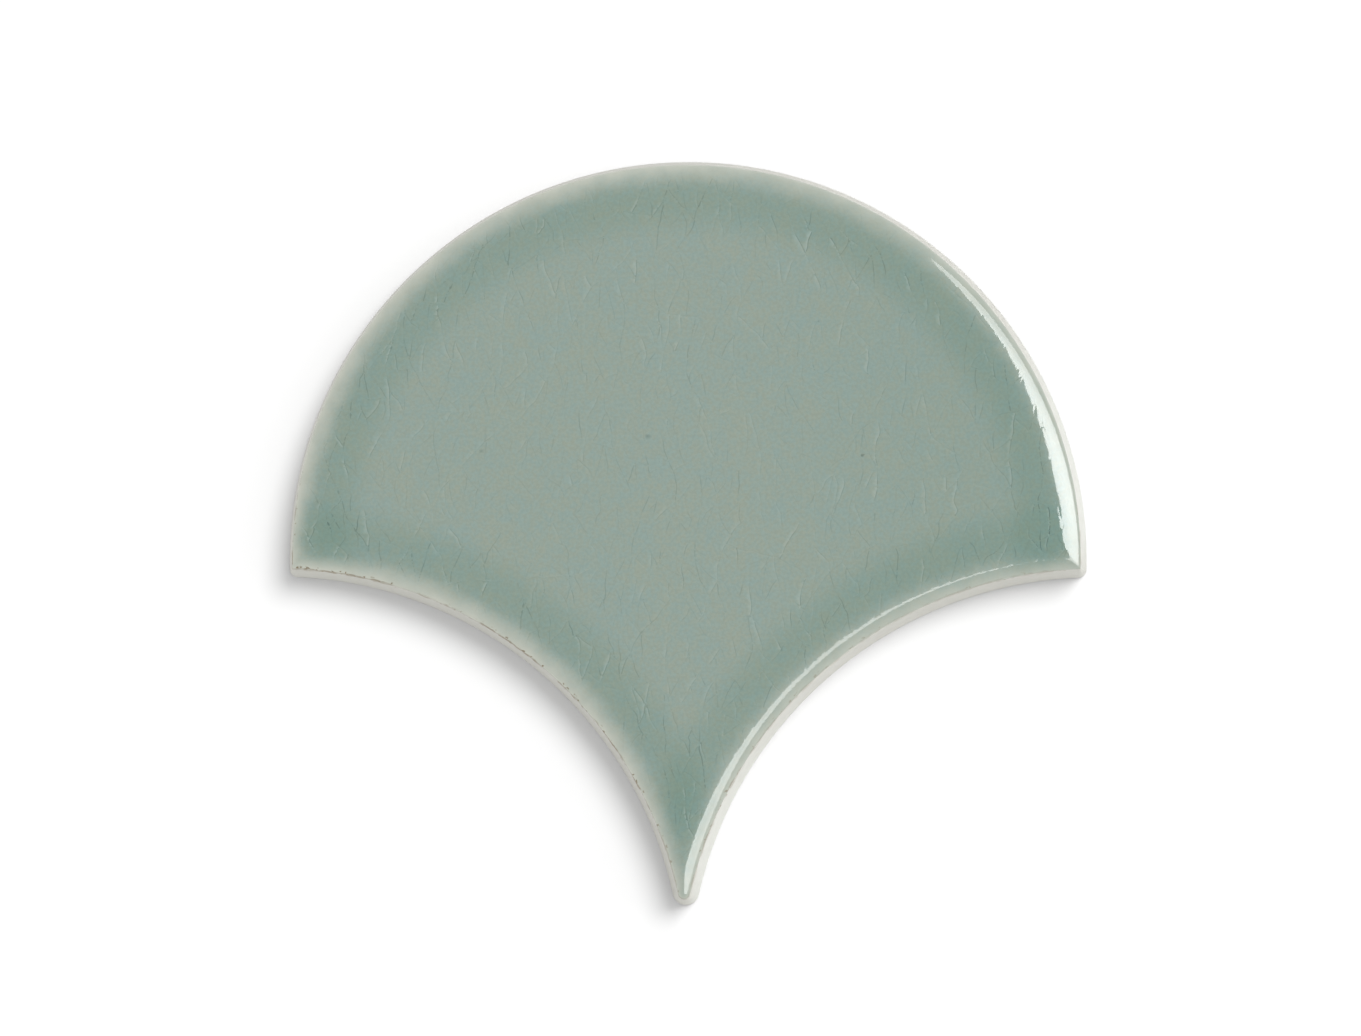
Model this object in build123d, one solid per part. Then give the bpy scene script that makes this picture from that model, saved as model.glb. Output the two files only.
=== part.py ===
from build123d import *
from math import atan2, cos, degrees, hypot, radians, sin, sqrt, tan
import os

# A scallop wall tile, pressed and fired as one piece. It lies on its back, glazed face up.
# +X runs across the tile, +Y from the tip towards the round top, +Z out of the face.
# The origin is on the back, in the middle of the tile's box. All lengths are in mm.

# Outline of the back edge
tile_width = 130.0  # across the round top
tile_length = 121.2  # from the top of the round to the end of the tip
corner_drop = 2.9  # from the tile's widest line down to where round and hollow meet
nesting_gap = 1.0  # joint between a hollow and the round top of the next row's tile
tip_radius = 2.15  # blunt end of the tip, in plan
corner_radius = 1.3  # the two side corners, in plan

# Section of the edge, from the back up to the face
thickness = 8.5
back_bevel = 0.4
wall_draft = 10.5  # degrees that the bare wall leans in
cushion_drop = 1.7  # from the face down to the line where the glaze ends
arris_radius = 0.8  # tight round above the glaze line
roll_slope = 40.0  # degrees, where the arris runs into the roll
roll_radius = 3.6
crown_slope = 10.0  # degrees, where the roll runs into the long easy crown
face_slope = 1.0  # degrees, where the crown runs into the flat of the face

# Keying channels pressed into the back
channel_width = 6.5
channel_depth = 0.8
channel_draft = 30.0  # degrees
channel_round = 2.0  # corners of a channel, in plan
rib_width = 4.5  # between two channels
plain_border = 6.5  # round all the channels


# Outline. The plan's zero is the centre of the round top, and azimuths run from +X to +Y.
def circle_meeting(centre_a, radius_a, centre_b, radius_b):
    """The meeting point of two circles that is on the right hand, going from a to b."""
    run_x = centre_b[0] - centre_a[0]
    run_y = centre_b[1] - centre_a[1]
    run = hypot(run_x, run_y)
    along = (run**2 + radius_a**2 - radius_b**2) / (2 * run)
    aside = sqrt(radius_a**2 - along**2)
    x = centre_a[0] + (along * run_x + aside * run_y) / run
    y = centre_a[1] + (along * run_y - aside * run_x) / run
    return x, y


def azimuth(start, end):
    return degrees(atan2(end[1] - start[1], end[0] - start[0]))


top_radius = tile_width / 2
hollow_radius = top_radius + nesting_gap
top_centre = (0, 0)
tip_centre = (0, top_radius - tile_length + tip_radius)

# A hollow starts where it meets the round top, and ends where it touches the tip's round
sharp_corner = (sqrt(top_radius**2 - corner_drop**2), -corner_drop)
hollow_centre = circle_meeting(
    tip_centre, hollow_radius + tip_radius, sharp_corner, hollow_radius
)
corner_centre = circle_meeting(
    hollow_centre, hollow_radius + corner_radius, top_centre, top_radius - corner_radius
)


# Edge section. Its points are (inset from the outline, height above the back).
def on_round(centre, radius, slope):
    """Point of a round at which its surface slopes by so many degrees."""
    angle = radians(slope)
    return centre[0] - radius * sin(angle), centre[1] + radius * cos(angle)


def round_centre(point, radius, slope):
    """Centre of a round that passes this point at this slope."""
    angle = radians(slope)
    return point[0] + radius * sin(angle), point[1] - radius * cos(angle)


wall_foot = (0, back_bevel)
wall_height = thickness - cushion_drop
wall_head = ((wall_height - back_bevel) * tan(radians(wall_draft)), wall_height)
wall_slope = 90 - wall_draft
arris_centre = round_centre(wall_head, arris_radius, wall_slope)
arris_middle = on_round(arris_centre, arris_radius, (wall_slope + roll_slope) / 2)
arris_head = on_round(arris_centre, arris_radius, roll_slope)
roll_centre = round_centre(arris_head, roll_radius, roll_slope)
roll_middle = on_round(roll_centre, roll_radius, (roll_slope + crown_slope) / 2)
roll_head = on_round(roll_centre, roll_radius, crown_slope)
crown_rise = thickness - roll_head[1]
crown_radius = crown_rise / (cos(radians(face_slope)) - cos(radians(crown_slope)))
crown_centre = round_centre(roll_head, crown_radius, crown_slope)
crown_middle = on_round(crown_centre, crown_radius, (crown_slope + face_slope) / 2)
crown_head = on_round(crown_centre, crown_radius, face_slope)


def edge_section(outline_radius, inwards, end_radius):
    """Section from an outline of this radius to end_radius; inwards is -1 or 1 along X."""

    def at(point):
        return outline_radius + inwards * point[0], point[1]

    with BuildSketch(Plane.XZ) as section:
        with BuildLine():
            Polyline((end_radius, 0), at((back_bevel, 0)), at(wall_foot), at(wall_head))
            ThreePointArc(at(wall_head), at(arris_middle), at(arris_head))
            ThreePointArc(at(arris_head), at(roll_middle), at(roll_head))
            ThreePointArc(at(roll_head), at(crown_middle), at(crown_head))
            Polyline(at(crown_head), (end_radius, thickness), (end_radius, 0))
        make_face()
    return section.sketch


def round_off(tile, centre, radius, first_azimuth, last_azimuth):
    """Ends a point of the tile in a round about centre, with the same section as the edge."""
    turn = last_azimuth - first_azimuth
    place = Pos(*centre) * Rot(0, 0, first_azimuth)
    past_centre = Cylinder(tile_width, thickness, arc_size=turn, align=None)
    half_section = split(edge_section(radius, -1, -tile_width), Plane.YZ)
    return tile - place * past_centre + place * revolve(half_section, revolution_arc=turn)


def plain_tile():
    """The tile with a flat back: a cushioned disc and a tail, less what lies in the hollows."""
    disc = revolve(edge_section(top_radius, -1, 0))
    tail = Box(
        top_radius,
        tile_length - top_radius,
        thickness,
        align=(Align.CENTER, Align.MAX, Align.MIN),
    )
    tile = disc + tail
    past_tile = tile_width + tile_length
    outside_hollow = revolve(edge_section(hollow_radius, 1, past_tile))
    for side in (-1, 1):
        tile &= Pos(side * hollow_centre[0], hollow_centre[1]) * outside_hollow

    # The rounds turn from the line towards one arc's centre to the line towards the other's
    tip_end = azimuth(tip_centre, hollow_centre)
    tile = round_off(tile, tip_centre, tip_radius, -180 - tip_end, tip_end)
    corner_start = azimuth(corner_centre, hollow_centre)
    corner_end = azimuth(top_centre, corner_centre)
    tile = round_off(tile, corner_centre, corner_radius, corner_start, corner_end)
    left_centre = (-corner_centre[0], corner_centre[1])
    return round_off(
        tile, left_centre, corner_radius, 180 - corner_end, 180 - corner_start
    )


def keying_channels():
    """Straight recesses along Y, each as long as the plain border leaves room for."""
    top_limit = top_radius - plain_border
    hollow_limit = hollow_radius + plain_border
    pitch = channel_width + rib_width
    channels = []
    for number in range(int(top_limit / pitch)):
        centre_x = (number + 0.5) * pitch
        outer_x = centre_x + channel_width / 2
        top_y = sqrt(top_limit**2 - outer_x**2)
        low_y = hollow_centre[1] + sqrt(hollow_limit**2 - (hollow_centre[0] - outer_x) ** 2)
        mouth = RectangleRounded(channel_width, top_y - low_y, channel_round)
        channel = extrude(mouth, amount=channel_depth, taper=channel_draft)
        for side in (-1, 1):
            channels.append(Pos(side * centre_x, (top_y + low_y) / 2) * channel)
    return channels


scallop_tile = plain_tile() - keying_channels()
scallop_tile = Pos(0, tile_length / 2 - top_radius) * scallop_tile

os.makedirs("parts", exist_ok=True)
export_step(scallop_tile, "parts/scallop_tile.step")
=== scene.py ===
import math
import random

import bpy
import numpy as np
from mathutils import Matrix, Vector, kdtree, noise
from mathutils.geometry import delaunay_2d_cdt


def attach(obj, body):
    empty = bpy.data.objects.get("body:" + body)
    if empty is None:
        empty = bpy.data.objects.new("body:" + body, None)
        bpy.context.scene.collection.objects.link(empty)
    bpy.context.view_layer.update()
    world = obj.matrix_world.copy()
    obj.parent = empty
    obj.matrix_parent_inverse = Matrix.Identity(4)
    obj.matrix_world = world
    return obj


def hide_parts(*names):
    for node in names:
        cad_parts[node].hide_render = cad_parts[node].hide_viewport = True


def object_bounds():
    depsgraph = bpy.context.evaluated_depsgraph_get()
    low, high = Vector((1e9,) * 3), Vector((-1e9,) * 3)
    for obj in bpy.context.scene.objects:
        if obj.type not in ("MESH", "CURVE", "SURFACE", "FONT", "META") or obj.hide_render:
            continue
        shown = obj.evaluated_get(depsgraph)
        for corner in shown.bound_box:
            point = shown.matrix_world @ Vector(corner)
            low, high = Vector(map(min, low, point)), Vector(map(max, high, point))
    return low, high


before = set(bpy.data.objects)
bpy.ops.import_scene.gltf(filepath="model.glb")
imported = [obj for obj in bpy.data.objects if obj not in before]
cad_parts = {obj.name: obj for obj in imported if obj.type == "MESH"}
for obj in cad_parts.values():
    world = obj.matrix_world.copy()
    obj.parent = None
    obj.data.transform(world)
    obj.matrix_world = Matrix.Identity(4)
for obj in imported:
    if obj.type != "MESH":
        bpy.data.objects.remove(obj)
cad_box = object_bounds()

# A scallop wall tile, face up: +X across it, +Y from the tip to the round top, +Z out of the face.
# Lengths are in millimetres until a mesh, lamp or camera is made. Azimuths run from +X to +Y.
MM = 0.001

# Outline of the back edge
tile_width, tile_length, thickness = (cad_box[1] - cad_box[0]) / MM
corner_drop = 2.9  # from the widest line down to where round and hollow meet
nesting_gap = 1.0
tip_radius = 2.15
corner_radius = 1.3

# Section of the edge, from the back up to the face
back_bevel = 0.4
wall_draft = 10.5  # degrees
cushion_drop = 1.7  # from the face down to the line where the glaze ends
arris_radius = 0.8
roll_slope = 40.0  # degrees
roll_radius = 3.6
crown_slope = 10.0  # degrees
face_slope = 1.0  # degrees

# Keying channels in the back
channel_width = 6.5
channel_depth = 0.8
channel_draft = 30.0  # degrees
channel_round = 2.0
rib_width = 4.5
plain_border = 6.5

# Spacing of the mesh
station_gap = 0.36  # along the outline
station_turn = math.radians(9)  # round the corners and the tip
wall_rows = 6
arris_turn = 8.0  # degrees of slope between two rings of the arris
roll_turn = 3.0
crown_gap = 0.45  # between two rings of the crown
crack_step = 0.38  # along a crack
grid_gap = 0.62  # between the cracks
grid_jitter = 0.1  # share of the gap by which a point of the grid may be off
grid_seed = 7
least_gap = 0.1
ring_clearance = 1.6 * least_gap  # from a crack to the rings of the edge
channel_turn = 15  # degrees between two points of a channel's corner
sharp_angle = 35  # degrees

# Relief of the fired surfaces
size_layer, drift_layer = 3.7, 50  # keep apart the noises of different sizes and directions
wall_pitting = 0.04
wall_grain = 1.1  # size of the pits in the bare wall
wall_bump = 0.03
mitre_round = 2.6  # how far the glaze softens the line where two edges meet
glaze_wander = 0.3  # rise and fall of the line where the glaze ends
wander_length = 4.0
wander_range = (0.45, 0.9)  # of the noise, between which the line falls
least_relief = 0.006  # keeps the face under the top of the CAD solid
ripple_depth, ripple_length = 0.016, 9.0
dimple_depth, dimple_length = 0.008, 1.6
crack_dip, crack_dip_reach = 0.006, 0.8  # the glaze sinks towards a crack
crack_depth, crack_half_width = 0.002, 0.12
relief_start, relief_end = 1.6, 3.4  # insets between which the relief sets in

# Crackle
crackle_seed = 41
field_half, field_lean = 0.65, 0.25  # shares of the tile's box, and of the field's half width
cell_area = (3.5, 9.0)  # least and most area of a cell
least_half = cell_area[0] / 3  # least area that a crack may cut off
cell_stretch = 1.8  # the cells are longer along Y
crack_miss = 0.08  # how far a crack may miss its cell's middle, as a share of the long way
crack_turn = 0.22  # spread of a crack's turn off the square to the long way, in radians
crack_bends = ((16, 3.4), (4.5, 0.9), (1.7, 0.3))  # length and reach
crack_fade_start, crack_fade_end = 1.8, 4.5  # insets between which the cracks set in
crack_dark = (0.05, 0.2)
upright_dark = 0.9  # added at most to a crack that runs along Y
crack_gleams = (0, 0, 0.3, 0.8)  # shares of the darkness at which a crack's side gets a painted highlight
patch_length, patch_least = 3.0, 0.15  # the cracks show in patches
patch_range = (0.38, 0.62)
flat_strength, pool_strength = 0.7, 0.4  # of the cracks in the flat, and more in the pool
pinholes = (  # places and darkness
    (28.6, 12.1, 1.6),
    (-6.0, 15.3, 0.7),
    (-7.6, 31.4, 0.7),
    (21.6, 33.8, 0.6),
    (33.8, 2.9, 0.7),
    (-32.9, 12.8, 0.6),
)

# Band in which the glaze has pooled behind the roll of the edge, by distance from the edge
pool_rise = (2.6, 6.4)
pool_fall = (7.6, 14.0)

# Rim of thin glaze
rim_start = 1.2  # inset
rim_narrowing = 0.45  # in the tile's points, as a share
narrow_widths = (7, 24)  # of the tile, between which the rim gets its full width

# Mottles of the glaze: length, detail of the noise, its range, tint
mottles = (
    (7.0, 2.0, (0.35, 0.65), (0.96, 1.0, 1.03, 1)),
    (2.5, 2.0, (0.35, 0.65), (1.03, 1.0, 0.975, 1)),
    (0.8, 2.0, (0.4, 0.6), (1.05, 0.985, 0.94, 1)),
    (0.5, 3.0, (0.35, 0.65), (0.93, 0.93, 0.93, 1)),
)

# Light and view
sky_light = 0.98
lamp_distance = 2600.0
key_azimuth, key_tilt = 15, 60  # degrees, the tilt off the vertical
key_size, key_power = 1500.0, 12.0  # the power in watts
shadow_azimuth, shadow_tilt = 48, 36
shadow_size, shadow_power = 1480.0, 80.0
floor_half, floor_drop = 4000, 0.02  # half its width, and how far it lies under the tile
floor_colour, floor_glow = 0.5, 0.08
softbox_azimuth, softbox_tilt = 0, 45
softbox_distance = 4000.0
softbox_outline = (  # across and up the panel, as shares of its distance
    (-0.48, -0.35),
    (0.08, -0.74),
    (0.80, -0.02),
    (0.82, 0.18),
    (0.57, 0.43),
    (0.43, 0.48),
    (-0.02, 0.50),
    (-0.16, 0.44),
    (-0.44, 0.80),
    (-0.53, 0.79),
)
softbox_centre, softbox_spread = (0.12, 0.25), (0.5, 1.5)  # of its brightest part
softbox_rim_light, softbox_light = 6.5, 14.4
view_width = 222.0  # seen across the picture, at the floor
camera_place = (37.0, -30.4, 782.0)
camera_aim = (-1.03, 2.37, 0)


# Outline
def circle_meeting(centre_a, radius_a, centre_b, radius_b):
    """The meeting point of two circles that is on the right hand, going from a to b."""
    run_x, run_y = centre_b[0] - centre_a[0], centre_b[1] - centre_a[1]
    run = math.hypot(run_x, run_y)
    along = (run**2 + radius_a**2 - radius_b**2) / (2 * run)
    aside = math.sqrt(radius_a**2 - along**2)
    x = centre_a[0] + (along * run_x + aside * run_y) / run
    y = centre_a[1] + (along * run_y - aside * run_x) / run
    return x, y


def azimuth(start, end):
    return math.atan2(end[1] - start[1], end[0] - start[0])


def mirrored(point):
    return -point[0], point[1]


top_radius = tile_width / 2
hollow_radius = top_radius + nesting_gap
top_centre = (0, tile_length / 2 - top_radius)
tip_centre = (0, tip_radius - tile_length / 2)
sharp_corner = (
    math.sqrt(top_radius**2 - corner_drop**2),
    top_centre[1] - corner_drop,
)
right_hollow = circle_meeting(
    tip_centre, hollow_radius + tip_radius, sharp_corner, hollow_radius
)
right_corner = circle_meeting(
    right_hollow, hollow_radius + corner_radius, top_centre, top_radius - corner_radius
)
left_hollow, left_corner = mirrored(right_hollow), mirrored(right_corner)
corner_start = azimuth(right_corner, right_hollow)
corner_end = azimuth(top_centre, right_corner)
tip_end = azimuth(tip_centre, right_hollow)

# The three rounded points: centre, radius, and the azimuths between which the round runs
tip_round = (tip_centre, tip_radius, -math.pi - tip_end, tip_end)
right_round = (right_corner, corner_radius, corner_start, corner_end)
left_round = (left_corner, corner_radius, math.pi - corner_end, math.pi - corner_start)


def arc_stations(centre, radius, start, end, side):
    """Points along an arc, and unit directions into the tile; side is -1, or 1 on a hollow."""
    count = math.ceil(abs(end - start) / min(station_gap / radius, station_turn))
    turn = start + (end - start) * np.arange(count) / count
    outward = np.column_stack((np.cos(turn), np.sin(turn)))
    return np.array(centre) + radius * outward, side * outward


def outline_stations():
    """Points all round the back edge, seen from above against the clock."""
    arcs = (
        (top_centre, top_radius, corner_end, math.pi - corner_end, -1),
        (*left_round, -1),
        (left_hollow, hollow_radius, -corner_start, -tip_end, 1),
        (*tip_round, -1),
        (right_hollow, hollow_radius, math.pi + tip_end, math.pi + corner_start, 1),
        (*right_round, -1),
    )
    made = [arc_stations(*arc) for arc in arcs]
    return np.vstack([m[0] for m in made]), np.vstack([m[1] for m in made])


def from_point(points, centre):
    """Distance and azimuth of the points from a centre."""
    offset = points - np.array(centre)
    return np.hypot(offset[:, 0], offset[:, 1]), np.arctan2(offset[:, 1], offset[:, 0])


def edge_distances(points):
    """How far each point lies inside the round top, the left hollow and the right hollow."""
    return (
        top_radius - from_point(points, top_centre)[0],
        from_point(points, left_hollow)[0] - hollow_radius,
        from_point(points, right_hollow)[0] - hollow_radius,
    )


def soft_min(a, b, radius, mitre):
    """The lesser of a and b, lowered near the line where they are equal, past a rounded point."""
    within = np.clip((np.minimum(a, b) - radius) / (2 * mitre_round), 0, 1)
    reach = np.maximum(mitre * within, 1e-6)
    near = np.maximum(reach - abs(a - b), 0)
    return np.minimum(a, b) - near**2 / reach / 4


def inset_of(points, mitre=0.0):
    """How far in from the outline each point lies; mitre softens where two edges meet."""
    top, left, right = edge_distances(points)
    hollows = soft_min(left, right, tip_radius, mitre)
    inset = soft_min(top, hollows, corner_radius, mitre)
    for centre, radius, start, end in (tip_round, right_round, left_round):
        away, turn = from_point(points, centre)
        past_centre = (turn - start) % math.tau < end - start
        inset[past_centre] = radius - away[past_centre]
    return inset


# Edge section. Its points are (inset from the outline, height above the back).
def on_round(centre, radius, slope):
    """Point of a round at which its surface slopes by so many degrees."""
    angle = math.radians(slope)
    return centre[0] - radius * math.sin(angle), centre[1] + radius * math.cos(angle)


def round_centre(point, radius, slope):
    """Centre of a round that passes this point at this slope."""
    angle = math.radians(slope)
    return point[0] + radius * math.sin(angle), point[1] - radius * math.cos(angle)


wall_height = thickness - cushion_drop
wall_lean = math.tan(math.radians(wall_draft))
wall_head = ((wall_height - back_bevel) * wall_lean, wall_height)
arris_centre = round_centre(wall_head, arris_radius, 90 - wall_draft)
arris_head = on_round(arris_centre, arris_radius, roll_slope)
roll_centre = round_centre(arris_head, roll_radius, roll_slope)
roll_head = on_round(roll_centre, roll_radius, crown_slope)
crown_radius = (thickness - roll_head[1]) / (
    math.cos(math.radians(face_slope)) - math.cos(math.radians(crown_slope))
)
crown_centre = round_centre(roll_head, crown_radius, crown_slope)


def section_height(inset):
    """Height of the glazed edge and the face; the crown runs on to where it is level."""
    height = np.full(inset.shape, crown_centre[1] + crown_radius)
    for centre, radius, last in (
        (crown_centre, crown_radius, crown_centre[0]),
        (roll_centre, roll_radius, roll_head[0]),
        (arris_centre, arris_radius, arris_head[0]),
    ):
        on_it = inset < last
        run = np.minimum(centre[0] - inset[on_it], radius)
        height[on_it] = centre[1] + np.sqrt(radius**2 - run**2)
    return height


def ring_insets():
    """Insets of the rings of the glazed edge, from just above the wall to the flat."""
    arris_slopes = np.arange(90 - wall_draft - arris_turn, roll_slope, -arris_turn)
    roll_slopes = np.arange(roll_slope, crown_slope, -roll_turn)
    return [
        *(on_round(arris_centre, arris_radius, slope)[0] for slope in arris_slopes),
        *(on_round(roll_centre, roll_radius, slope)[0] for slope in roll_slopes),
        *np.arange(roll_head[0], crown_centre[0], crown_gap),
    ]


# Fields
def smooth_step(values, start, end):
    share = np.clip((values - start) / (end - start), 0, 1)
    return share**2 * (3 - 2 * share)


def ripple(points, size, layer=0.0):
    """Smooth noise from 0 to 1 over plan points."""
    places = ((x / size, y / size, size_layer * size + layer) for x, y in points)
    return np.clip([0.5 + 0.5 * noise.noise(Vector(p)) for p in places], 0, 1)


def drift(points, size, reach):
    """Smooth shifts of up to about reach that change over about size."""
    layers = size, size + drift_layer
    shifts = [[noise.noise(Vector((x / size, y / size, z))) for z in layers] for x, y in points]
    return np.array(shifts) * reach


def pooled(points):
    """How much glaze has pooled behind the edges: 1, or up to 2 in the corners."""
    return sum(
        smooth_step(distance, *pool_rise) * (1 - smooth_step(distance, *pool_fall))
        for distance in edge_distances(points)
    )


def rim_inset(points, inset):
    """Inset made larger in the points of the tile, where the thin glaze of the rim is narrower."""
    width = np.sum(np.sort(edge_distances(points), axis=0)[:2], axis=0)
    narrow = rim_narrowing * (1 - smooth_step(width, *narrow_widths))
    return inset + narrow * np.maximum(inset - rim_start, 0)


# Crackle
def longest_way(corners):
    """The two corners of a cell that are farthest apart."""
    pairs = ((a, b) for a in corners for b in corners)
    return max(pairs, key=lambda pair: math.dist(*pair))


def area_of(corners):
    following = corners[1:] + corners[:1]
    return abs(sum(a[0] * b[1] - b[0] * a[1] for a, b in zip(corners, following))) / 2


def cut_cell(corners, point, angle):
    """The two halves of a cell cut by a line, and the line's two ends."""
    across = (-math.sin(angle), math.cos(angle))
    sides = [
        (c[0] - point[0]) * across[0] + (c[1] - point[1]) * across[1] for c in corners
    ]
    halves, ends = ([], []), []
    for n, corner in enumerate(corners):
        following = (n + 1) % len(corners)
        halves[sides[n] > 0].append(corner)
        if (sides[n] > 0) != (sides[following] > 0):
            share = sides[n] / (sides[n] - sides[following])
            end = tuple(c + share * (f - c) for c, f in zip(corner, corners[following]))
            ends.append(end)
            halves[0].append(end)
            halves[1].append(end)
    return halves, ends


def crack_cell(corners, draw, cracks):
    """Cracks a cell across its long way, and its halves again, until they are small."""
    if area_of(corners) < draw.uniform(*cell_area):
        return
    middle = [sum(c[axis] for c in corners) / len(corners) for axis in (0, 1)]
    start, end = longest_way(corners)
    miss = crack_miss * math.dist(start, end)
    point = [m + draw.uniform(-miss, miss) for m in middle]
    angle = azimuth(start, end) + math.pi / 2 + draw.gauss(0, crack_turn)
    halves, ends = cut_cell(corners, point, angle)
    if len(ends) != 2 or min(map(area_of, halves)) < least_half:
        return
    cracks.append(ends)
    for half in halves:
        crack_cell(half, draw, cracks)


def crack_line(start, end):
    """Stations along one crack, from its lower end up, and unit directions along it."""
    if start[1] > end[1]:
        start, end = end, start
    start, end = (np.array((x, y * cell_stretch)) for x, y in (start, end))
    count = max(1, round(math.dist(start, end) / crack_step))
    straight = start + (end - start) * np.linspace(0, 1, count + 1)[:, None]
    line = straight
    for size, reach in crack_bends:
        line = line + drift(straight, size, reach)
    along = np.gradient(line, axis=0)
    return line, along / np.hypot(*along.T)[:, None]


def crackle():
    """Stations along all cracks, their directions, darkness and painted gleam."""
    draw = random.Random(crackle_seed)
    half_x, half_y = field_half * tile_width, field_half * tile_length / cell_stretch
    lean = field_lean * half_x
    field = [(-half_x + lean, -half_y), (half_x + lean, -half_y)]
    field += [(half_x - lean, half_y), (-half_x - lean, half_y)]
    cracks, made = [], []
    crack_cell(field, draw, cracks)
    for ends in cracks:
        line, along = crack_line(*ends)
        upright = abs(along[:, 1]).mean()
        dark = draw.uniform(*crack_dark) + upright_dark * upright**3 * draw.random()
        gleam = dark * draw.choice(crack_gleams)
        shown = smooth_step(ripple(line, patch_length), *patch_range)
        seen = patch_least + (1 - patch_least) * shown
        made.append((line, along, dark * seen, gleam * seen))
    return [np.concatenate(column) for column in zip(*made)]


# Choice of mesh points
def tree_of(points):
    tree = kdtree.KDTree(len(points))
    for n, (x, y) in enumerate(points):
        tree.insert((x, y, 0), n)
    tree.balance()
    return tree


def gap_to(points, tree):
    return np.array([tree.find((x, y, 0))[2] for x, y in points])


def thinned(points, gap):
    """Which points stay when none may lie within gap of an earlier one that stays."""
    tree = tree_of(points)
    stays = np.ones(len(points), bool)
    for n, (x, y) in enumerate(points):
        if stays[n]:
            for _, other, _ in tree.find_range((x, y, 0), gap):
                if other > n:
                    stays[other] = False
    return stays


def edge_rings(base, inward):
    """Points of the rings of the glazed edge, less those past the line where two edges meet."""
    rings, rounding = [], 1e-3
    for ring_inset in ring_insets():
        ring = base + inward * ring_inset
        ring = ring[inset_of(ring) > ring_inset - rounding]
        if ring_inset > arris_head[0]:
            ring = ring[thinned(ring, least_gap)]
        rings.append(ring)
    return np.vstack(rings)


def face_grid():
    """A staggered grid over the flat of the face, a little uneven."""
    draw = np.random.default_rng(grid_seed)
    row_gap = grid_gap * math.sqrt(3) / 2
    rows = np.arange(-tile_length / 2, tile_length / 2, row_gap)
    columns = np.arange(-tile_width / 2, tile_width / 2, grid_gap)
    x, y = np.meshgrid(columns, rows)
    x[1::2] += grid_gap / 2
    points = np.column_stack((x.ravel(), y.ravel()))
    points += draw.uniform(-grid_jitter, grid_jitter, points.shape) * grid_gap
    return points[inset_of(points) > crown_centre[0] + crown_gap / 2]


def crack_points():
    """Points along the middles and sides of the cracks and at pinholes, dark and painted gleam of
    each.
    """
    middle, along, dark, gleam = crackle()
    inset = inset_of(middle)
    strength = smooth_step(inset, crack_fade_start, crack_fade_end)
    strength *= flat_strength + pool_strength * pooled(middle)
    inside = inset > crack_fade_start
    middle, along = middle[inside], along[inside]
    dark, gleam = (dark * strength)[inside], (gleam * strength)[inside]
    holes = np.array(pinholes)
    left_side = crack_half_width * np.column_stack((-along[:, 1], along[:, 0]))
    none = np.zeros(len(middle))
    no_gleam = np.zeros(len(holes))
    points = np.vstack((holes[:, :2], middle, middle + left_side, middle - left_side))
    dark = np.concatenate((holes[:, 2], dark, none, none))
    gleam = np.concatenate((no_gleam, none, gleam, none))
    stays = thinned(points, least_gap)
    return points[stays], dark[stays], gleam[stays], tree_of(middle)


def face_points(base, inward):
    """Points of the glazed face, how dark a crack makes each and how much painted highlight it puts
    there, and the cracks.
    """
    lines, line_dark, line_gleam, crack_tree = crack_points()
    line_tree = tree_of(lines)
    rings = edge_rings(base, inward)
    rings = rings[gap_to(rings, line_tree) > ring_clearance]
    grid = face_grid()
    grid = grid[gap_to(grid, line_tree) > grid_gap / 2]
    points = np.vstack((lines, rings, grid))
    dark, gleam = np.zeros(len(points)), np.zeros(len(points))
    dark[: len(lines)] = line_dark
    gleam[: len(lines)] = line_gleam
    return points, dark, gleam, crack_tree


def relief(points, inset, crack_tree):
    """How far the glaze lies below the even section."""
    sunk = ripple_depth * ripple(points, ripple_length)
    sunk += dimple_depth * ripple(points, dimple_length)
    crack_gap = np.minimum(gap_to(points, crack_tree), crack_dip_reach)
    sunk += crack_dip * (1 - crack_gap / crack_dip_reach) ** 2
    sunk += crack_depth * np.maximum(1 - crack_gap / crack_half_width, 0)
    return least_relief + smooth_step(inset, relief_start, relief_end) * sunk


# Mesh
class TileMesh:
    """Points and faces of the tile's mesh, and the fields that its materials use."""

    def __init__(self):
        self.points, self.faces, self.glazed = [], [], []
        self.fields = {"inset": [], "rim": [], "pool": [], "crack": [], "gleam": []}

    def add_points(self, plan, height, **fields):
        """Adds points and returns their numbers."""
        first = len(self.points)
        heights = np.broadcast_to(height, len(plan))
        self.points.extend(np.column_stack((plan, heights)).tolist())
        for name, values in self.fields.items():
            values.extend(np.broadcast_to(fields.get(name, 0.0), len(plan)))
        return np.arange(first, len(self.points))

    def add_faces(self, faces, glazed=False):
        self.faces.extend(np.asarray(faces).tolist())
        self.glazed.extend([glazed] * len(faces))

    def add_strip(self, lower, upper):
        """Faces between two rings of as many points; the outside is on the right going along."""
        self.add_faces(
            np.column_stack((lower, np.roll(lower, -1), np.roll(upper, -1), upper))
        )


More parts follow.
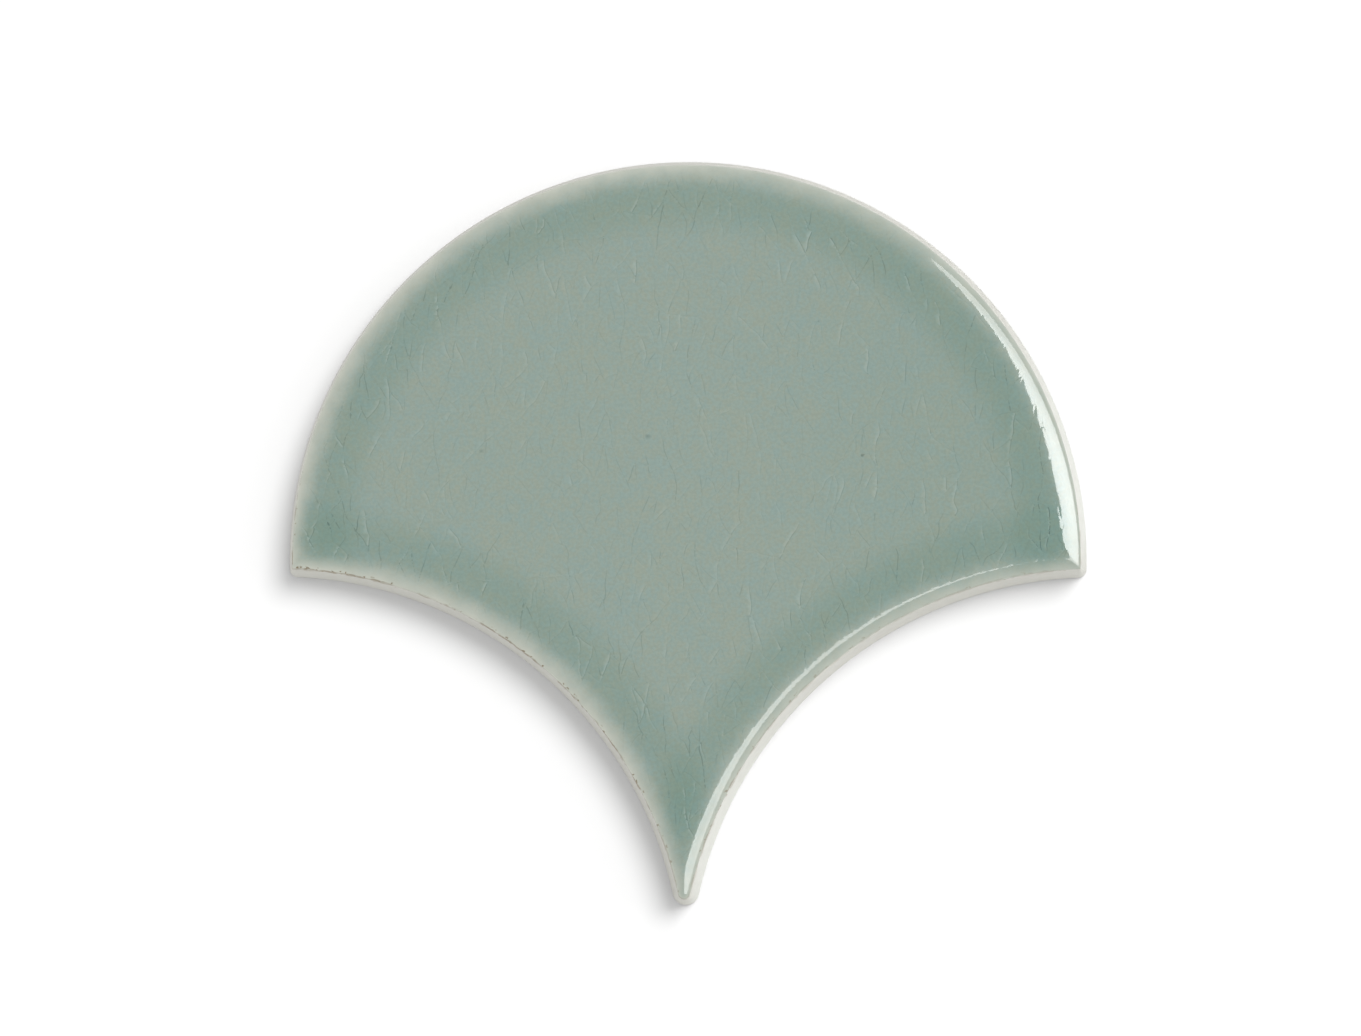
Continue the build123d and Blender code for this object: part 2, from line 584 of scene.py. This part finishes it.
def filled(rings, inner=()):
    """Triangles of the area inside the first ring and outside the others, by point number."""
    plan = np.vstack([*rings, *([inner] if len(inner) else [])])
    ring_of = np.zeros(len(plan), int)
    edges, first = [], 0
    for n, ring in enumerate(rings):
        numbers = np.arange(first, first + len(ring))
        ring_of[numbers] = n
        edges.extend(zip(numbers.tolist(), np.roll(numbers, -1).tolist()))
        first += len(ring)
    inside, same_point = 1, 1e-6
    points = [Vector(p) for p in plan.tolist()]
    made = delaunay_2d_cdt(points, edges, [], inside, same_point)
    source = np.array([numbers[0] for numbers in made[3]])
    triangles = source[np.array(made[2])]

    # A triangle with all its corners on one of the other rings, which are convex, covers it
    corner_rings = ring_of[triangles]
    covering = (corner_rings[:, 0] > 0) & (np.ptp(corner_rings, axis=1) == 0)
    return triangles[~covering]


def channel_loop(centre, width, length, radius):
    """Outline of a channel: a rectangle with rounded corners, against the clock."""
    steps = np.radians(np.arange(0, 91, channel_turn))
    loop = []
    for number, side in enumerate(((1, 1), (-1, 1), (-1, -1), (1, -1))):
        turn = steps + number * math.pi / 2
        corner = np.array(side) * (width / 2 - radius, length / 2 - radius)
        outward = np.column_stack((np.cos(turn), np.sin(turn)))
        loop.append(np.array(centre) + corner + radius * outward)
    return np.vstack(loop)


def channel_places():
    """Centre and length of each keying channel."""
    top_limit = top_radius - plain_border
    hollow_limit = hollow_radius + plain_border
    pitch = channel_width + rib_width
    places = []
    for number in range(int(top_limit / pitch)):
        centre_x = (number + 0.5) * pitch
        outer_x = centre_x + channel_width / 2
        top_y = top_centre[1] + math.sqrt(top_limit**2 - outer_x**2)
        hollow_rise = math.sqrt(hollow_limit**2 - (right_hollow[0] - outer_x) ** 2)
        low_y = right_hollow[1] + hollow_rise
        for side in (-1, 1):
            places.append(((side * centre_x, (top_y + low_y) / 2), top_y - low_y))
    return places


def add_back(tile, base, inward):
    """The back with its keying channels; returns the ring at its edge."""
    loops = [base + inward * back_bevel]
    rings = [tile.add_points(loops[0], 0)]
    lean = channel_depth * math.tan(math.radians(channel_draft))
    for centre, length in channel_places():
        mouth = channel_loop(centre, channel_width, length, channel_round)
        bottom = channel_loop(
            centre, channel_width - 2 * lean, length - 2 * lean, channel_round - lean
        )
        mouth_ring = tile.add_points(mouth, 0)
        bottom_ring = tile.add_points(bottom, channel_depth)
        tile.add_strip(bottom_ring, mouth_ring)
        tile.add_faces([bottom_ring[::-1]])
        loops.append(mouth)
        rings.append(mouth_ring)
    numbers = np.concatenate(rings)
    tile.add_faces(numbers[filled(loops)][:, ::-1])
    return rings[0]


def add_wall(tile, base, inward, back_ring):
    """The bevel and the bare, drafted wall; returns the ring where the glaze ends."""
    fall = smooth_step(ripple(base, wander_length), *wander_range)
    glaze_end = wall_head[1] - glaze_wander * fall
    lower = back_ring
    for row in range(wall_rows):
        share = row / (wall_rows - 1)
        height = back_bevel + share * (glaze_end - back_bevel)
        pitting = 4 * share * (1 - share) * wall_pitting * ripple(base, wall_grain, row)
        inset = (height - back_bevel) * wall_lean
        plan = base + inward * (inset + pitting)[:, None]
        upper = tile.add_points(plan, height, inset=inset, rim=inset)
        tile.add_strip(lower, upper)
        lower = upper
    return lower


def add_face(tile, base, inward, edge):
    """The glazed face, from the ring where the glaze ends."""
    edge_plan = np.array(tile.points)[edge, :2]
    plan, dark, gleam, crack_tree = face_points(base, inward)
    inset = inset_of(plan, mitre_round)
    height = section_height(inset) - relief(plan, inset, crack_tree)
    rim = rim_inset(plan, inset)
    fields = {"inset": inset, "rim": rim, "pool": pooled(plan), "crack": dark, "gleam": gleam}
    inner = tile.add_points(plan, height, **fields)
    numbers = np.concatenate([edge, inner])
    tile.add_faces(numbers[filled([edge_plan], plan)], glazed=True)


def tile_object(*materials):
    """The whole tile as one closed mesh, in bare clay and in glaze."""
    base, inward = outline_stations()
    tile = TileMesh()
    back_ring = add_back(tile, base, inward)
    edge = add_wall(tile, base, inward, back_ring)
    add_face(tile, base, inward, edge)
    made = mesh_object("glazed_scallop_tile", np.array(tile.points), tile.faces)
    mesh = made.data
    for name, values in tile.fields.items():
        field = mesh.attributes.new(name, "FLOAT", "POINT")
        field.data.foreach_set("value", np.array(values, np.float32))
    for material in materials:
        mesh.materials.append(material)
    mesh.polygons.foreach_set("material_index", np.array(tile.glazed, np.int32))
    mesh.shade_smooth()
    mesh.set_sharp_from_angle(angle=math.radians(sharp_angle))
    return made


def mesh_object(name, points, faces):
    """Object of a mesh whose points are in millimetres."""
    mesh = bpy.data.meshes.new(name)
    mesh.from_pydata((np.array(points) * MM).tolist(), [], faces)
    made = bpy.data.objects.new(name, mesh)
    bpy.context.scene.collection.objects.link(made)
    return made


# Materials
def linear(*colour):
    """Linear colour of sRGB numbers from 0 to 255."""
    shares = [c / 255 for c in colour]
    return (
        *(c / 12.92 if c < 0.04045 else ((c + 0.055) / 1.055) ** 2.4 for c in shares),
        1.0,
    )


class Shading:
    """One material, with short ways to make its nodes."""

    def __init__(self, name):
        self.material = bpy.data.materials.new(name)
        self.material.use_nodes = True
        self.tree = self.material.node_tree
        self.shader = self.tree.nodes["Principled BSDF"]

    def node(self, kind, **settings):
        made = self.tree.nodes.new("ShaderNode" + kind)
        for name, value in settings.items():
            setattr(made, name, value)
        return made

    def put(self, value, socket):
        """Links a socket to another, or sets its value."""
        if isinstance(value, bpy.types.NodeSocket):
            self.tree.links.new(value, socket)
        else:
            socket.default_value = value

    def paint(self, name, value):
        self.put(value, self.shader.inputs[name])

    def field(self, name):
        return self.node("Attribute", attribute_name=name).outputs["Fac"]

    def noise(self, length, detail=2.0):
        """Noise from 0 to 1 whose features are about so many millimetres long."""
        made = self.node("TexNoise")
        self.put(self.node("TexCoord").outputs["Object"], made.inputs["Vector"])
        self.put(1 / (length * MM), made.inputs["Scale"])
        self.put(detail, made.inputs["Detail"])
        return made.outputs["Fac"]

    def along(self, x, y):
        """Distance of a point along a direction in plan, in metres."""
        made = self.node("VectorMath", operation="DOT_PRODUCT")
        self.put(self.node("TexCoord").outputs["Object"], made.inputs[0])
        made.inputs[1].default_value = Vector((x, y, 0)).normalized()
        return made.outputs["Value"]

    def ramp(self, value, low, high, to_low=0.0, to_high=1.0, kind="SMOOTHSTEP"):
        """Value carried from low..high to to_low..to_high, and kept within them."""
        made = self.node("MapRange", interpolation_type=kind)
        for name, number in (
            ("Value", value),
            ("From Min", low),
            ("From Max", high),
            ("To Min", to_low),
            ("To Max", to_high),
        ):
            self.put(number, made.inputs[name])
        return made.outputs["Result"]

    def math(self, operation, a, b):
        made = self.node("Math", operation=operation)
        self.put(a, made.inputs[0])
        self.put(b, made.inputs[1])
        return made.outputs[0]

    def mix(self, share, a, b, blend="MIX"):
        """From colour a to colour b."""
        made = self.node("Mix", data_type="RGBA", blend_type=blend)
        self.put(share, made.inputs["Factor"])
        self.put(a, made.inputs[6])
        self.put(b, made.inputs[7])
        return made.outputs[2]


def glaze_edge_line(s):
    """From 0 to 1 on the broken brown line and the specks along which the glaze ends."""
    inset, x, y = s.field("inset"), s.along(1, 0), s.along(0, 1)
    uneven = s.math("ADD", inset, s.ramp(s.noise(1.6), 0.3, 0.7, -0.08, 0.08))
    line = s.math("MULTIPLY", s.ramp(uneven, 1.0, 1.12), s.ramp(uneven, 1.42, 1.28))
    broken = s.math("MULTIPLY", line, s.ramp(s.noise(2.5), 0.4, 0.6, 0.1, 0.75))
    near = s.math("MULTIPLY", s.ramp(inset, 0.98, 1.08), s.ramp(inset, 1.8, 1.45))
    specks = s.math("MULTIPLY", near, s.ramp(s.noise(0.8, 1.0), 0.62, 0.69))

    # Strongest in the left hollow, weaker at the tip, on the right and round the top
    hollows = s.ramp(y, -4 * MM, 12 * MM, 1, 0.1)
    side = s.math("MULTIPLY", hollows, s.ramp(x, -5 * MM, 20 * MM, 1, 0.4))
    side = s.math("MULTIPLY", side, s.ramp(y, -58 * MM, -35 * MM, 0.5, 1))
    return s.math("MULTIPLY", s.math("MAXIMUM", broken, specks), side)


def glaze_material():
    """Glossy grey-green crackle glaze: pale where it runs thin at the rim, deeper where it pools."""
    s = Shading("celadon_crackle_glaze")
    face, deep = linear(139, 157, 148), linear(115, 142, 131)
    rim, brown = linear(191, 194, 182), linear(124, 112, 88)
    crack_tint, painted_gleam_colour = (0.56, 0.61, 0.61, 1), linear(200, 212, 205)
    x = s.along(1, 0)

    # The face, deeper in the pooled band and towards the right
    depth = s.math("ADD", s.field("pool"), s.ramp(x, 5 * MM, 62 * MM, 0, 0.5))
    colour = s.mix(s.ramp(depth, 0, 2, kind="LINEAR"), face, deep)
    for length, detail, spread, tint in mottles:
        colour = s.mix(s.ramp(s.noise(length, detail), *spread), colour, tint, "MULTIPLY")

    # The thin glaze of the rim, palest on the left
    uneven = s.math("ADD", s.field("rim"), s.ramp(s.noise(4.0), 0.3, 0.7, -0.3, 0.3))
    thin = s.math("POWER", s.ramp(uneven, rim_start, 5.0, 1, 0, "LINEAR"), 1.5)
    thin = s.math("MULTIPLY", thin, s.ramp(x, -25 * MM, 30 * MM, 1, 0.68))
    colour = s.mix(thin, colour, rim)

    colour = s.mix(s.field("crack"), colour, crack_tint, "MULTIPLY")
    # Painted highlight: one side of some cracks is coloured lighter, as if the crack caught the
    # light
    colour = s.mix(s.math("MULTIPLY", s.field("gleam"), 0.3), colour, painted_gleam_colour)
    colour = s.mix(glaze_edge_line(s), colour, brown)
    s.paint("Base Color", colour)
    s.paint("Roughness", 0.05)
    return s.material


def biscuit_material():
    """Pale matte fired clay, with painted light making it paler on the walls at the right and at the
    right of the tip.
    """
    s = Shading("pale_biscuit")
    pale, shaded, brown = linear(201, 201, 194), linear(190, 189, 181), linear(134, 121, 97)
    colour = s.mix(s.noise(1.4, 4.0), pale, shaded)
    x, y = s.along(1, 0), s.along(0, 1)
    # Painted light: the walls at the right and at the right of the tip are coloured paler, as if lit
    # more strongly
    right = s.math("MULTIPLY", s.ramp(y, -9 * MM, 2 * MM), s.ramp(x, 50 * MM, 64 * MM))
    tip = s.math("MULTIPLY", s.ramp(y, -15 * MM, -50 * MM), s.ramp(x, 0, 3 * MM))
    painted_light = s.math("MAXIMUM", right, tip)
    colour = s.mix(painted_light, colour, (1.16, 1.18, 1.2, 1), "MULTIPLY")
    colour = s.mix(glaze_edge_line(s), colour, brown)
    s.paint("Base Color", colour)
    s.paint("Roughness", 0.85)
    bump = s.node("Bump")
    s.put(wall_bump * MM, bump.inputs["Distance"])
    s.put(s.noise(0.35, 3.0), bump.inputs["Height"])
    s.paint("Normal", bump.outputs["Normal"])
    return s.material


# Floor, light and camera
def direction(azimuth_degrees, tilt_degrees):
    """Unit vector at this azimuth and this many degrees off the vertical."""
    turn, tilt = math.radians(azimuth_degrees), math.radians(tilt_degrees)
    flat = math.sin(tilt)
    return Vector((flat * math.cos(turn), flat * math.sin(turn), math.cos(tilt)))


def place(thing, across, facing, distance, target=(0, 0, 0)):
    """Puts a thing this far from a target, its +Z away from it and its +X about along across."""
    up = facing.cross(across).normalized()
    matrix = Matrix((up.cross(facing), up, facing)).transposed().to_4x4()
    matrix.translation = (Vector(target) + facing * distance) * MM
    thing.matrix_world = matrix


def add_floor():
    """Pale floor that is white to the camera, apart from the tile's shadow."""
    signs = ((-1, -1), (1, -1), (1, 1), (-1, 1))
    corners = [(x * floor_half, y * floor_half, -floor_drop) for x, y in signs]
    floor = mesh_object("floor", corners, [(0, 1, 2, 3)])
    s = Shading("pale_floor")
    s.paint("Base Color", (floor_colour, floor_colour, floor_colour, 1))
    s.paint("Roughness", 1.0)
    s.paint("Specular IOR Level", 0.0)
    s.paint("Emission Color", (1, 1, 1, 1))
    seen = s.node("LightPath").outputs["Is Camera Ray"]
    s.paint("Emission Strength", s.math("MULTIPLY", seen, floor_glow))
    floor.data.materials.append(s.material)
    return floor


def add_sky():
    """Soft even light all round, and white to the camera and to reflections."""
    world = bpy.data.worlds.new("studio")
    bpy.context.scene.world = world
    world.use_nodes = True
    nodes, links = world.node_tree.nodes, world.node_tree.links
    path = nodes.new("ShaderNodeLightPath")
    seen = nodes.new("ShaderNodeMath")
    seen.operation = "MAXIMUM"
    strength = nodes.new("ShaderNodeMapRange")
    strength.inputs["To Min"].default_value = sky_light
    strength.inputs["To Max"].default_value = 1.0
    background = nodes["Background"]
    background.inputs["Color"].default_value = (1, 1, 1, 1)
    links.new(path.outputs["Is Camera Ray"], seen.inputs[0])
    links.new(path.outputs["Is Glossy Ray"], seen.inputs[1])
    links.new(seen.outputs[0], strength.inputs["Value"])
    links.new(strength.outputs["Result"], background.inputs["Strength"])


def add_lamp(name, towards, size, power):
    """Round soft lamp that shows in no reflection."""
    lamp = bpy.data.lights.new(name, "AREA")
    lamp.shape = "DISK"
    lamp.size = size * MM
    lamp.energy = power
    made = bpy.data.objects.new(name, lamp)
    bpy.context.scene.collection.objects.link(made)
    place(made, Vector((1, 0, 0)), towards, lamp_distance)
    made.visible_glossy = False
    made.visible_camera = False
    return made


def add_lamps(floor):
    """The key, from the right, and a lamp for the floor alone that casts the tile's shadow."""
    add_lamp("key", direction(key_azimuth, key_tilt), key_size, key_power)
    towards = direction(shadow_azimuth, shadow_tilt)
    shadow_lamp = add_lamp("shadow_lamp", towards, shadow_size, shadow_power)
    receivers = bpy.data.collections.new("floor_alone")
    receivers.objects.link(floor)
    shadow_lamp.light_linking.receiver_collection = receivers


def add_softbox():
    """Bright panel at the right, there for its reflection along the rim."""
    corners = [(x * softbox_distance, y * softbox_distance, 0) for x, y in softbox_outline]
    panel = mesh_object("softbox", corners, [range(len(corners))])
    facing = direction(softbox_azimuth, softbox_tilt)
    place(panel, Vector((0, 0, 1)).cross(facing), facing, softbox_distance)
    panel.data.materials.append(softbox_material())
    panel.visible_camera = False
    panel.visible_diffuse = False
    panel.visible_shadow = False


def softbox_material():
    """White light, brightest about the panel's lamp and weaker towards its ends."""
    s = Shading("softbox")
    spread = s.node("Mapping")
    s.put(s.node("TexCoord").outputs["Object"], spread.inputs["Vector"])
    for axis in (0, 1):
        scale = 1 / (softbox_spread[axis] * softbox_distance * MM)
        spread.inputs["Scale"].default_value[axis] = scale
        spread.inputs["Location"].default_value[axis] = (
            -softbox_centre[axis] / softbox_spread[axis]
        )
    near = s.node("TexGradient", gradient_type="SPHERICAL")
    s.put(spread.outputs["Vector"], near.inputs["Vector"])
    strength = s.ramp(near.outputs["Fac"], 0, 1, softbox_rim_light, softbox_light)
    s.paint("Base Color", (0, 0, 0, 1))
    s.paint("Emission Color", (1, 1, 1, 1))
    s.paint("Emission Strength", strength)
    return s.material


def add_camera():
    """Looks down at the tile, framed as the photograph is."""
    lens = bpy.data.cameras.new("camera")
    camera = bpy.data.objects.new("camera", lens)
    bpy.context.scene.collection.objects.link(camera)
    away = Vector(camera_place) - Vector(camera_aim)
    place(camera, Vector((1, 0, 0)), away.normalized(), away.length, camera_aim)
    lens.sensor_width = 36.0
    lens.lens = lens.sensor_width * away.length / view_width
    lens.clip_start, lens.clip_end = 0.01, 100
    bpy.context.scene.camera = camera


tile = tile_object(biscuit_material(), glaze_material())
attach(tile, "root")
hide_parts("scallop_tile")

add_lamps(add_floor())
add_sky()
add_softbox()
add_camera()
bpy.context.scene.view_settings.view_transform = "Standard"
